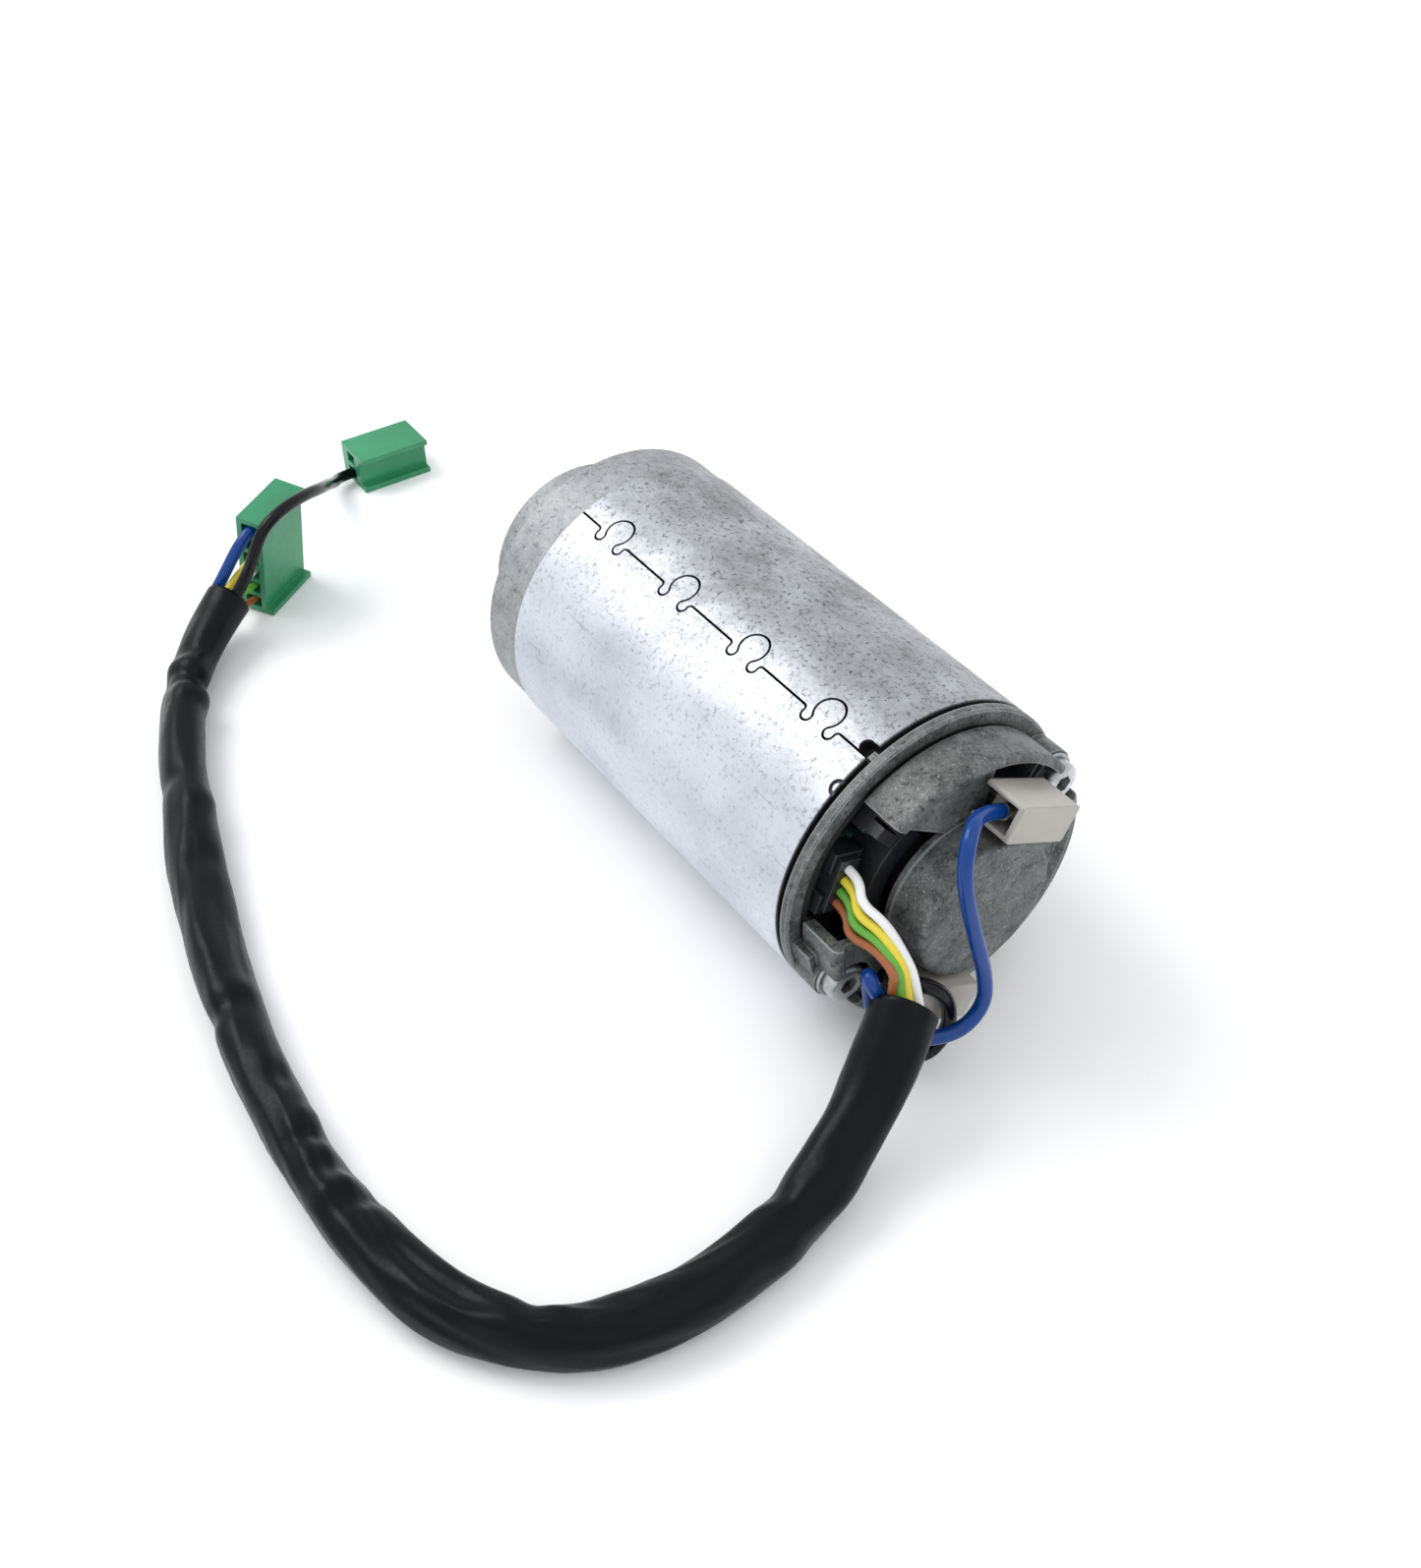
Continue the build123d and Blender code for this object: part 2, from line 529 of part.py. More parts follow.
# ---- power terminals: tab, receptacle and flag housing ----------------------------
flag_middle = (FLAG_REAR + FLAG_FRONT) / 2
lead_starts = []
for letter, turn, wire_side in (("a", TERMINAL_ANGLE, 1), ("b", TERMINAL_ANGLE + 180, -1)):
    a = radians(turn)
    save(polar_block(turn, TERMINAL_R, -112.4, -120.2, 6.3, 0.8), f"terminal_tab_{letter}")
    barrel = Plane(
        origin=(flag_middle, TERMINAL_R * cos(a), TERMINAL_R * sin(a)),
        z_dir=(0, wire_side * sin(a), -wire_side * cos(a)),
    )
    with BuildPart() as receptacle:
        add(polar_block(turn, TERMINAL_R, -114.0, -121.0, 8.0, 2.6))
        add(polar_block(turn, TERMINAL_R, -113.0, -120.3, 6.5, 1.0), mode=Mode.SUBTRACT)
        with BuildSketch(barrel.offset(4.0)):
            Circle(1.6)
        extrude(amount=2.6)
    save(receptacle.part, f"receptacle_{letter}")
    lead_starts.append(barrel.offset(6.6))
    with BuildPart() as housing:
        add(polar_block(turn, TERMINAL_R, FLAG_FRONT, FLAG_REAR, FLAG_LONG, FLAG_WIDE))
        chamfer(housing.edges().filter_by(Axis.X), 0.4)
        add(polar_block(turn, TERMINAL_R, FLAG_FRONT + 1, FLAG_REAR + FLAG_WALL,
                        FLAG_LONG - FLAG_WALL + 1, FLAG_WIDE - 2 * FLAG_WALL,
                        wire_side * (FLAG_WALL + 1) / 2), mode=Mode.SUBTRACT)
    save(housing.part, f"flag_housing_{letter}")

# ---- through bolts and washers ----------------------------------------------------
washer_rear = PAD_REAR - WASHER_THICK
head_rear = washer_rear - BOLT_HEAD_LEN
with BuildPart() as through_bolts:
    for turn in BOLT_ANGLES:
        add(polar_drum(turn, BOLT_PCR, BOLT_R, BOLT_TIP, washer_rear))
        add(polar_drum(turn, BOLT_PCR, BOLT_HEAD_R, washer_rear, head_rear))
    fillet(rim(through_bolts, head_rear, BOLT_HEAD_R), 1.1)
    for turn in BOLT_ANGLES:
        with BuildSketch(polar_plane(turn, BOLT_PCR, head_rear)):
            RegularPolygon(1.9, 6)
        extrude(amount=-1.8, mode=Mode.SUBTRACT)
save(through_bolts.part, "through_bolts")
with BuildPart() as bolt_washers:
    for turn in BOLT_ANGLES:
        add(polar_drum(turn, BOLT_PCR, WASHER_R, PAD_REAR, washer_rear))
        add(polar_drum(turn, BOLT_PCR, BOLT_R + 0.15, PAD_REAR + 1, washer_rear - 1), mode=Mode.SUBTRACT)
save(bolt_washers.part, "bolt_washers")


# ---- harness connectors ------------------------------------------------------------
def seat(at, yaw, lean):
    """Placement of a connector lying on the surface, from its near wire-side bottom corner."""
    return Location((at[0], at[1], FLOOR_Z)) * Rotation(0, 0, yaw) * Rotation(lean, 0, 0)


def cell_heights(height, ways):
    """Heights of the cell centres, evenly stacked about the middle of the housing."""
    return [height / 2 + CELL_PITCH * (way - (ways - 1) / 2) for way in range(ways)]


def connector(size, ways, name, place):
    """Crimp-contact housing: stacked cells open at both ends, and a railed side."""
    length, width, height = size
    with BuildPart() as body:
        Box(length, width, height, align=(Align.MIN, Align.MIN, Align.MIN))
        with Locations((length / 2, 0, height / 2)):
            Box(length, 2 * RAIL_DEPTH, height - 2 * RAIL_LIP, mode=Mode.SUBTRACT)
        cells = [(length / 2, (RAIL_DEPTH + width) / 2, z) for z in cell_heights(height, ways)]
        with Locations(*cells):
            Box(length, CELL_WIDE, CELL_HIGH, mode=Mode.SUBTRACT)
    save(place * body.part, name)


six_way_place = seat(SIX_WAY_AT, SIX_WAY_YAW, SIX_WAY_LEAN)
two_way_place = seat(TWO_WAY_AT, TWO_WAY_YAW, 0)
connector(SIX_WAY_SIZE, 6, "six_way_connector", six_way_place)
connector(TWO_WAY_SIZE, 2, "two_way_connector", two_way_place)

six_way_cells = cell_heights(SIX_WAY_SIZE[2], 6)
two_way_cells = cell_heights(TWO_WAY_SIZE[2], 2)
six_way_middle = (RAIL_DEPTH + SIX_WAY_SIZE[1]) / 2
two_way_middle = (RAIL_DEPTH + TWO_WAY_SIZE[1]) / 2
WIRED_CELLS = {"blue": 5, "yellow": 3, "white": 2, "green": 1, "brown": 0}
with BuildPart() as contact:
    Box(CONTACT_LONG, 2.4, 2.4)
    with Locations((CONTACT_LONG / 2 - 2.5, 0, 0)):
        Box(5.0, 1.2, 1.2, mode=Mode.SUBTRACT)
contact_solids = []
for cell in WIRED_CELLS.values():
    spot = Location((CONTACT_AT + CONTACT_LONG / 2, six_way_middle, six_way_cells[cell]))
    contact_solids.append(six_way_place * spot * contact.part)
spot = Location((CONTACT_AT + CONTACT_LONG / 2, two_way_middle, two_way_cells[0]))
contact_solids.append(two_way_place * spot * contact.part)
with BuildPart() as crimp_contacts:
    for solid in contact_solids:
        add(solid)
save(crimp_contacts.part, "crimp_contacts")


# ---- harness cords -----------------------------------------------------------------
def cord(name, points, radius):
    """Round cord through a route of straight runs, each corner rounded by its own arc."""
    route = [Vector(*point) for point in points]
    runs = [after - before for before, after in zip(route, route[1:])]
    radii = []
    for before, after in zip(runs, runs[1:]):
        half_turn = radians(before.get_angle(after)) / 2
        radii.append(0.45 * min(before.length, after.length) / tan(half_turn))
    with BuildPart() as body:
        with BuildLine() as path:
            FilletPolyline(*route, radius=radii)
        with BuildSketch(Plane(origin=path.line @ 0, z_dir=path.line % 0)):
            Circle(radius)
        sweep()
    length = path.wires()[0].length
    fill = body.part.volume / (pi * radius**2 * length)
    print(f"{name}: {length:.1f} mm, tightest bend {min(radii) / (2 * radius):.1f} diameters, fill {fill:.3f}")
    save(body.part, name)


cord("harness_sleeve", SLEEVE_POINTS, SLEEVE_R)

mouth = Plane(origin=MOUTH, x_dir=(0.72, 0.40, 0), z_dir=MOUTH_DIRECTION)
signal_ends = {"white": (-3.3, -1.2), "yellow": (-1.5, -2.6), "green": (0.0, -3.0), "brown": (1.75, -2.6)}
signal_middles = {
    "white": [(-118.4, 19.8, 7.2), (-122.0, 18.2, 0.2), (-123.9, 16.9, -4.0)],
    "yellow": [(-118.0, 20.4, 4.4), (-121.4, 19.9, -2.0), (-123.4, 18.4, -5.6)],
    "green": [(-117.4, 21.5, 2.7), (-121.2, 21.6, -2.6), (-123.2, 20.4, -5.0)],
    "brown": [(-116.8, 23.0, 1.6), (-120.2, 23.3, -1.5), (-121.6, 22.0, -4.4)],
}
for name, start in zip(("white", "yellow", "green", "brown"), signal_spots):
    route = [(PLUG_REAR, *start), (PLUG_REAR - 4.6, *start)]
    route += signal_middles[name]
    route.append(tuple(mouth.from_local_coords((*signal_ends[name], 0))))
    cord(f"signal_wire_{name}", route, SIGNAL_R)

blue_end = tuple(mouth.from_local_coords((3.7, -0.4, 0)))
cord("lead_blue", [
    tuple(lead_starts[0].origin), tuple(lead_starts[0].offset(6.0).origin), (-122.4, 8.6, 25.4),
    (-125.2, 11.6, 19.4), (-126.2, 10.2, 11.0), (-127.0, 7.7, 1.6), (-127.6, 5.2, -7.6),
    (-128.2, 4.8, -14.6), (-128.4, 9.6, -18.6), (-126.6, 16.0, -18.6), (-121.5, 20.8, -19.0),
    (-117.2, 24.0, -15.4), (-115.6, 24.0, -9.8), (-117.0, 24.5, -4.2), (-120.3, 25.2, -4.6), blue_end,
], LEAD_R)
black_end = tuple(mouth.from_local_coords((-1.0, 3.4, 0)))
cord("lead_black", [
    tuple(lead_starts[1].origin), tuple(lead_starts[1].offset(4.6).origin), (-120.6, 17.4, -7.6),
    (-124.0, 12.4, -9.6), (-124.6, 9.6, -16.0), (-124.8, 9.6, -22.8), (-124.6, 14.6, -27.0),
    (-120.8, 18.6, -24.6), (-118.5, 18.9, -19.2), (-119.1, 17.9, -13.8), black_end,
], LEAD_R)

far_run = Vector(*SLEEVE_POINTS[-1]) - Vector(*SLEEVE_POINTS[-2])
far_end = Plane(origin=SLEEVE_POINTS[-1], x_dir=(-far_run.Y, far_run.X, 0), z_dir=far_run)
tail_offsets = {
    "blue": (2.6, 2.4), "yellow": (-0.2, 2.7), "white": (0.2, 0.6),
    "green": (2.0, -0.8), "brown": (0.4, -3.0),
}
for name, cell in WIRED_CELLS.items():
    radius = LEAD_R if name == "blue" else SIGNAL_R
    entry = six_way_place * Location((CONTACT_AT, six_way_middle, six_way_cells[cell]))
    before = six_way_place * Location((-2.8, six_way_middle, six_way_cells[cell]))
    leave = far_end.from_local_coords((*tail_offsets[name], 0))
    onward = far_end.from_local_coords((*tail_offsets[name], 1.8))
    cord(f"tail_{name}", [tuple(leave), tuple(onward), tuple(before.position), tuple(entry.position)], radius)
entry = two_way_place * Location((CONTACT_AT, two_way_middle, two_way_cells[0]))
before = two_way_place * Location((-3.9, two_way_middle, two_way_cells[0]))
leave = far_end.from_local_coords((-2.8, 2.2, 0))
cord("tail_black", [
    tuple(leave), (67.8, 58.8, -15.6), (66.4, 56.4, -9.4), (66.6, 53.0, -3.6), (68.8, 47.0, -1.8),
    (72.8, 39.6, -2.8), (79.2, 32.4, -6.8), (90.0, 26.8, -13.8), (99.8, 22.8, -20.4), (108.2, 18.0, -26.2),
    tuple(before.position), tuple(entry.position),
], LEAD_R)
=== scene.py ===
import math

import bpy
from mathutils import Matrix, Vector, noise


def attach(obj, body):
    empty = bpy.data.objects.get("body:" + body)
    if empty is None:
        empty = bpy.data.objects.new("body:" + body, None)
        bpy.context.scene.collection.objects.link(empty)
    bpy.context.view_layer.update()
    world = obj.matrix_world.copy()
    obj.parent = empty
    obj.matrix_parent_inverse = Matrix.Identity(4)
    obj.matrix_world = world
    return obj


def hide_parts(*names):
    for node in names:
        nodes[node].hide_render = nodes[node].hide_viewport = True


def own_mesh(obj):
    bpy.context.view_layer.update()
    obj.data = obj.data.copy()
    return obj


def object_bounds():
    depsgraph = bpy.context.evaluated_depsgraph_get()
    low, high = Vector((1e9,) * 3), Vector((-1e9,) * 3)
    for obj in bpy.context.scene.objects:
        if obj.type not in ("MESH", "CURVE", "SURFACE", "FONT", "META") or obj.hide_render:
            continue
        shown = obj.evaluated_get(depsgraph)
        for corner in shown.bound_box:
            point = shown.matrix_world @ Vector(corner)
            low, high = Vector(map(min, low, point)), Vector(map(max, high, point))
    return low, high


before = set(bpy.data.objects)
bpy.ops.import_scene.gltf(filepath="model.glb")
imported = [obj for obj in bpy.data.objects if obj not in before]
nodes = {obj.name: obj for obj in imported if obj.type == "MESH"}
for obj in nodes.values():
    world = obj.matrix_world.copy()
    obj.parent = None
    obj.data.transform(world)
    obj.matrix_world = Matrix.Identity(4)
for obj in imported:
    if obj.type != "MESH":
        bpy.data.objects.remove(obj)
bounds_at_load = [list(p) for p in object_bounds()]


# ------------------------------------------------------------------ node helpers
def new_material(name):
    """A material with its Principled shader, and the object coordinates in metres."""
    mat = bpy.data.materials.new(name)
    mat.use_nodes = True
    tree = mat.node_tree
    shader = tree.nodes["Principled BSDF"]
    place = tree.nodes.new("ShaderNodeTexCoord").outputs["Object"]
    return mat, tree, shader, place


def stretched(tree, place, scale):
    """Coordinates stretched by three factors."""
    node = tree.nodes.new("ShaderNodeMapping")
    node.inputs["Scale"].default_value = scale
    tree.links.new(place, node.inputs["Vector"])
    return node.outputs["Vector"]


def grain(tree, place, scale, detail=4.0, rough=0.55, warp=0.0):
    """Fractal noise from 0 to 1."""
    node = tree.nodes.new("ShaderNodeTexNoise")
    node.inputs["Scale"].default_value = scale
    node.inputs["Detail"].default_value = detail
    node.inputs["Roughness"].default_value = rough
    node.inputs["Distortion"].default_value = warp
    tree.links.new(place, node.inputs["Vector"])
    return node.outputs["Fac"]


def spots(tree, place, scale):
    """Distance to scattered points."""
    node = tree.nodes.new("ShaderNodeTexVoronoi")
    node.inputs["Scale"].default_value = scale
    node.inputs["Randomness"].default_value = 1.0
    tree.links.new(place, node.inputs["Vector"])
    return node.outputs["Distance"]


def ramp(tree, value, *stops):
    """Colour ramp with (position, colour) stops."""
    node = tree.nodes.new("ShaderNodeValToRGB")
    elements = node.color_ramp.elements
    while len(elements) < len(stops):
        elements.new(0.5)
    for element, (position, colour) in zip(elements, stops):
        element.position = position
        element.color = (*colour, 1)
    tree.links.new(value, node.inputs["Fac"])
    return node.outputs["Color"]


def grey(value):
    """A neutral colour."""
    return (value, value, value)


def levels(tree, value, low, high, out_low, out_high):
    """Remap a value with clamping."""
    node = tree.nodes.new("ShaderNodeMapRange")
    node.inputs["From Min"].default_value = low
    node.inputs["From Max"].default_value = high
    node.inputs["To Min"].default_value = out_low
    node.inputs["To Max"].default_value = out_high
    tree.links.new(value, node.inputs["Value"])
    return node.outputs["Result"]


def maths(tree, operation, one, two):
    """Arithmetic on two sockets or numbers."""
    node = tree.nodes.new("ShaderNodeMath")
    node.operation = operation
    for socket, item in zip(node.inputs, (one, two)):
        if isinstance(item, (int, float)):
            socket.default_value = item
        else:
            tree.links.new(item, socket)
    return node.outputs["Value"]


def mixed(tree, factor, one, two):
    """Mix of two colours, each a socket or a plain colour."""
    node = tree.nodes.new("ShaderNodeMix")
    node.data_type = "RGBA"
    tree.links.new(factor, node.inputs[0])
    for socket, colour in ((node.inputs[6], one), (node.inputs[7], two)):
        if isinstance(colour, tuple):
            socket.default_value = (*colour, 1)
        else:
            tree.links.new(colour, socket)
    return node.outputs[2]


def axes(tree, place):
    """The X, Y and Z of a place, in metres."""
    node = tree.nodes.new("ShaderNodeSeparateXYZ")
    tree.links.new(place, node.inputs["Vector"])
    return tuple(node.outputs)


def off_axis(tree, place):
    """Distance from the shaft's axis, in metres."""
    node = tree.nodes.new("ShaderNodeVectorMath")
    node.operation = "LENGTH"
    tree.links.new(stretched(tree, place, (0, 1, 1)), node.inputs[0])
    return node.outputs["Value"]


def bump(tree, shader, height, strength, distance, base=None):
    """Bump the shader's normal, over a rounded one if there is one."""
    node = tree.nodes.new("ShaderNodeBump")
    if base:
        tree.links.new(base, node.inputs["Normal"])
    node.inputs["Strength"].default_value = strength
    node.inputs["Distance"].default_value = distance
    tree.links.new(height, node.inputs["Height"])
    tree.links.new(node.outputs["Normal"], shader.inputs["Normal"])


def worn_highlit_edges(tree, colour, radius, light, amount):
    """The colour with its outer edges and corners lightened toward a lighter one, as wear and painted
    highlight.
    """
    round_off = tree.nodes.new("ShaderNodeBevel")
    round_off.samples = 6
    round_off.inputs["Radius"].default_value = radius
    flat = tree.nodes.new("ShaderNodeNewGeometry").outputs["Normal"]
    match = tree.nodes.new("ShaderNodeVectorMath")
    match.operation = "DOT_PRODUCT"
    tree.links.new(round_off.outputs["Normal"], match.inputs[0])
    tree.links.new(flat, match.inputs[1])
    edge = levels(tree, match.outputs["Value"], 0.985, 0.86, 0.0, amount)
    return mixed(tree, edge, colour, light), round_off.outputs["Normal"]


def shaded_in_hollows(tree, colour, distance, amount):
    """The colour painted with shade in its corners, sockets and gaps, darkest where they close in."""
    node = tree.nodes.new("ShaderNodeAmbientOcclusion")
    node.samples = 6
    node.inputs["Distance"].default_value = distance
    hollow_shade = levels(tree, node.outputs["AO"], 0.82, 0.30, 0.0, amount)
    return mixed(tree, hollow_shade, colour, SHADE_DARK)


def dress(obj, mat):
    """Give an object one material."""
    obj.data.materials.clear()
    obj.data.materials.append(mat)


# ------------------------------------------------------------------ materials
# colour of painted shade in gaps, grooves and hollows
SHADE_DARK = grey(0.010)
SEAM_SHADE_DARK = grey(0.012)
SPECK_DARK = grey(0.030)

# the tube is painted dark as shade below its skin, in the seam and marks, and at its rear rim
SKIN_R = 0.03125
UNDER_SKIN_R = 0.03105
RIM_START = -0.10070
RIM_FULL = -0.10085
SEAM_SHADE_SHARE = 0.92


def plated_tube():
    """Rolled zinc-plated sheet: satin, bluish, with dirt and painted shade on its far side, painted shade in
    seam and rim.
    """
    mat, tree, shader, place = new_material("plated_tube")
    blotch = grain(tree, place, 48, 6, 0.66, 0.15)
    streaks = grain(tree, stretched(tree, place, (1.0, 0.12, 0.12)), 600, 3, 0.6)
    dirt = grain(tree, stretched(tree, place, (0.8, 1.0, 1.0)), 90, 10, 0.78, 0.2)
    specks = grain(tree, place, 1050, 7, 0.74)
    fine = grain(tree, place, 1500, 3, 0.6)
    x, y, z = axes(tree, place)
    # the far side is darkened toward grey with blotchy dirt and with painted shade
    far_side = maths(tree, "ADD", maths(tree, "MULTIPLY", y, -0.70), maths(tree, "MULTIPLY", z, 0.30))
    dirt_and_shade_side = levels(tree, far_side, -0.016, 0.008, 0.0, 1.0)
    base = ramp(tree, blotch, (0.30, (0.53, 0.56, 0.61)), (0.52, (0.65, 0.68, 0.73)),
                (0.72, (0.73, 0.76, 0.80)))
    dirt_and_shade_film = maths(tree, "MULTIPLY", dirt_and_shade_side, levels(tree, dirt, 0.38, 0.62, 0.42, 1.0))
    dirty_shaded = mixed(tree, dirt_and_shade_film, base, (0.250, 0.247, 0.250))
    speckled = levels(tree, specks, 0.54, 0.62, 0.0, 0.9)
    spotted = maths(tree, "MULTIPLY", speckled, levels(tree, dirt_and_shade_side, 0.0, 1.0, 0.30, 1.0))
    dark = mixed(tree, spotted, dirty_shaded, (0.070, 0.068, 0.066))
    scratch = grain(tree, stretched(tree, place, (0.06, 1.0, 1.0)), 900, 2, 0.5)
    rubbed = mixed(tree, levels(tree, scratch, 0.69, 0.75, 0.0, 0.3), dark, (0.26, 0.26, 0.27))
    # painted shade: near black below the skin, in the seam and marks, and at the rear rim
    below = levels(tree, off_axis(tree, place), SKIN_R, UNDER_SKIN_R, 0.0, SEAM_SHADE_SHARE)
    seam_shade = maths(tree, "MAXIMUM", below, levels(tree, x, RIM_START, RIM_FULL, 0.0, SEAM_SHADE_SHARE))
    tree.links.new(mixed(tree, seam_shade, rubbed, SEAM_SHADE_DARK), shader.inputs["Base Color"])
    tree.links.new(levels(tree, dirt_and_shade_film, 0.0, 1.0, 0.88, 0.55), shader.inputs["Metallic"])
    satin = levels(tree, blotch, 0.3, 0.7, 0.36, 0.50)
    rough = maths(tree, "ADD", satin, levels(tree, dirt, 0.4, 0.7, 0.0, 0.14))
    tree.links.new(rough, shader.inputs["Roughness"])
    height = maths(tree, "ADD", maths(tree, "MULTIPLY", streaks, 0.5), maths(tree, "MULTIPLY", fine, 0.5))
    bump(tree, shader, height, 0.16, 0.0004)
    return mat


def cast_skin(name, low, high, edge, metallic, speck, rough_low, rough_high, bands=()):
    """Die-cast alloy: matte, mottled, dark specks, bright spots of wear, edges lightened as wear and painted
    highlight, painted shade in bands along X and hollows.
    """
    mat, tree, shader, place = new_material(name)
    mottle = grain(tree, place, 210, 9, 0.76, 0.2)
    fine = grain(tree, place, 1700, 4, 0.7)
    pits = spots(tree, place, 900)
    base = ramp(tree, mottle, (0.36, low), (0.62, high))
    bright = mixed(tree, levels(tree, fine, 0.56, 0.72, 0.0, 0.6), base, edge)
    specks = levels(tree, grain(tree, place, 800, 4, 0.7), 0.56, 0.66, 0.0, speck)
    dark = mixed(tree, specks, bright, SPECK_DARK)
    # edges lightened as wear and painted highlight
    rubbed, rounded = worn_highlit_edges(tree, dark, 0.0006, edge, 0.75)
    x = axes(tree, place)[0]
    reach = off_axis(tree, place)
    # painted shade in each band, inside its radius
    for start, end, radius in bands:
        behind = maths(tree, "GREATER_THAN", x, start)
        along = maths(tree, "MULTIPLY", behind, maths(tree, "LESS_THAN", x, end))
        inside = maths(tree, "MULTIPLY", along, maths(tree, "LESS_THAN", reach, radius))
        rubbed = mixed(tree, maths(tree, "MULTIPLY", inside, 0.9), rubbed, SHADE_DARK)
    # painted shade darkens the corners and gaps
    tree.links.new(shaded_in_hollows(tree, rubbed, 0.003, 0.75), shader.inputs["Base Color"])
    shader.inputs["Metallic"].default_value = metallic
    tree.links.new(levels(tree, mottle, 0.3, 0.7, rough_low, rough_high), shader.inputs["Roughness"])
    hollows = maths(tree, "MULTIPLY", levels(tree, pits, 0.0, 0.35, 0.0, 1.0), 0.4)
    height = maths(tree, "ADD", maths(tree, "MULTIPLY", fine, 0.8), hollows)
    bump(tree, shader, height, 0.35, 0.0005, rounded)
    return mat


def metal(name, colour, roughness, scale, along=(1, 1, 1), wear=0.3):
    """Plain metal with fine turning marks, slight tarnish and painted shade in its hollows."""
    mat, tree, shader, place = new_material(name)
    marks = grain(tree, stretched(tree, place, along), scale, 4, 0.6)
    tarnish = grain(tree, place, 160, 5, 0.65)
    dull = tuple(c * (1 - wear) for c in colour)
    tinted = ramp(tree, tarnish, (0.32, dull), (0.62, colour))
    # painted shade darkens the socket and corners
    tree.links.new(shaded_in_hollows(tree, tinted, 0.002, 0.95), shader.inputs["Base Color"])
    shader.inputs["Metallic"].default_value = 1.0
    rough = levels(tree, marks, 0.3, 0.7, roughness * 0.75, roughness * 1.35)
    tree.links.new(rough, shader.inputs["Roughness"])
    bump(tree, shader, marks, 0.12, 0.0003)
    return mat


def plastic(name, colour, roughness, scale=700.0, strength=0.12, shade=0.22, shine=0.5, glow=0.0,
            soften=0.0003):
    """Plastic with a fine skin and faint unevenness, its edges painted lighter as a highlight and rounded
    unless soften is 0.
    """
    mat, tree, shader, place = new_material(name)
    skin = grain(tree, place, scale, 4, 0.6)
    cloud = grain(tree, place, 90, 4, 0.6)
    dusk = tuple(c * (1 - shade) for c in colour)
    tinted = ramp(tree, cloud, (0.30, dusk), (0.66, colour))
    # edges painted lighter as a highlight
    highlight_pale = tuple(c + 0.10 * (1 - c) for c in colour)
    edged, rounded = worn_highlit_edges(tree, tinted, soften, highlight_pale, 0.35) if soften else (tinted, None)
    tree.links.new(edged, shader.inputs["Base Color"])
    rough = levels(tree, skin, 0.3, 0.7, roughness * 0.8, roughness * 1.2)
    tree.links.new(rough, shader.inputs["Roughness"])
    shader.inputs["Specular IOR Level"].default_value = shine
    shader.inputs["Subsurface Weight"].default_value = glow
    shader.inputs["Subsurface Radius"].default_value = (0.002, 0.002, 0.0018)
    bump(tree, shader, skin, strength, 0.0003, rounded)
    return mat


def cord_plastic(name, colour, roughness, shade, shine=0.45):
    """Extruded insulation: smooth, with faint draw marks and no edges to wear."""
    return plastic(name, colour, roughness, 900, 0.05, shade, shine, soften=0.0)


tube_steel = plated_tube()
front_alloy = cast_skin("front_alloy", (0.24, 0.245, 0.255), (0.40, 0.405, 0.415), grey(0.55),
                        metallic=0.55, speck=0.5, rough_low=0.42, rough_high=0.60)
# painted shade in the gap before the rear cover's flange and in the groove behind it: from, to, out to a
# radius
SHADED_GROOVES = ((-0.10215, -0.09, 0.0312), (-0.10505, -0.10405, 0.0284))
rear_alloy = cast_skin("rear_alloy", (0.046, 0.052, 0.049), (0.185, 0.196, 0.188), (0.50, 0.51, 0.50),
                       metallic=0.38, speck=0.9, rough_low=0.40, rough_high=0.58, bands=SHADED_GROOVES)
zinc = metal("zinc_plate", (0.70, 0.71, 0.72), 0.40, 900, wear=0.5)
ground_steel = metal("ground_steel", (0.66, 0.66, 0.67), 0.22, 1500, (1, 0.1, 0.1))
sheet_steel = metal("pressed_steel", (0.48, 0.48, 0.49), 0.35, 800)
laminations = metal("laminations", (0.22, 0.22, 0.23), 0.5, 2500, (1, 0.05, 0.05))
brass = metal("brass", (0.72, 0.55, 0.24), 0.3, 700)
tin = metal("tin_plate", (0.70, 0.66, 0.56), 0.35, 700)
copper = metal("copper", (0.62, 0.27, 0.12), 0.35, 1400, (0.2, 1, 1))
ferrite = plastic("ferrite", (0.05, 0.05, 0.055), 0.7, 900, 0.3)
carbon = plastic("carbon", (0.035, 0.035, 0.035), 0.6, 900, 0.2)
phenolic = plastic("phenolic", (0.10, 0.05, 0.035), 0.45)
board = plastic("board", (0.03, 0.14, 0.07), 0.4)
black_plastic = plastic("black_plastic", (0.014, 0.015, 0.018), 0.34, 900, 0.10, shine=0.55)
nylon = plastic("natural_nylon", (0.44, 0.42, 0.38), 0.42, 500, 0.16, 0.16, glow=0.3, soften=0.0007)
green = plastic("green_plastic", (0.024, 0.270, 0.115), 0.34, 500, 0.10, 0.25, glow=0.12, soften=0.0004)
pvc = plastic("sleeve_pvc", (0.0010, 0.0016, 0.0026), 0.34, 1200, shade=0.25, shine=0.15, soften=0.0)
insulation = {
    "white": cord_plastic("wire_white", (0.86, 0.86, 0.84), 0.35, 0.06),
    "yellow": cord_plastic("wire_yellow", (0.82, 0.66, 0.05), 0.33, 0.14),
    "green": cord_plastic("wire_green", (0.13, 0.42, 0.05), 0.33, 0.14),
    "brown": cord_plastic("wire_brown", (0.36, 0.12, 0.04), 0.33, 0.14),
    "blue": cord_plastic("wire_blue", (0.001, 0.044, 0.235), 0.22, 0.10, 0.35),
    "black": cord_plastic("wire_black", (0.003, 0.003, 0.004), 0.24, 0.12, 0.22),
}

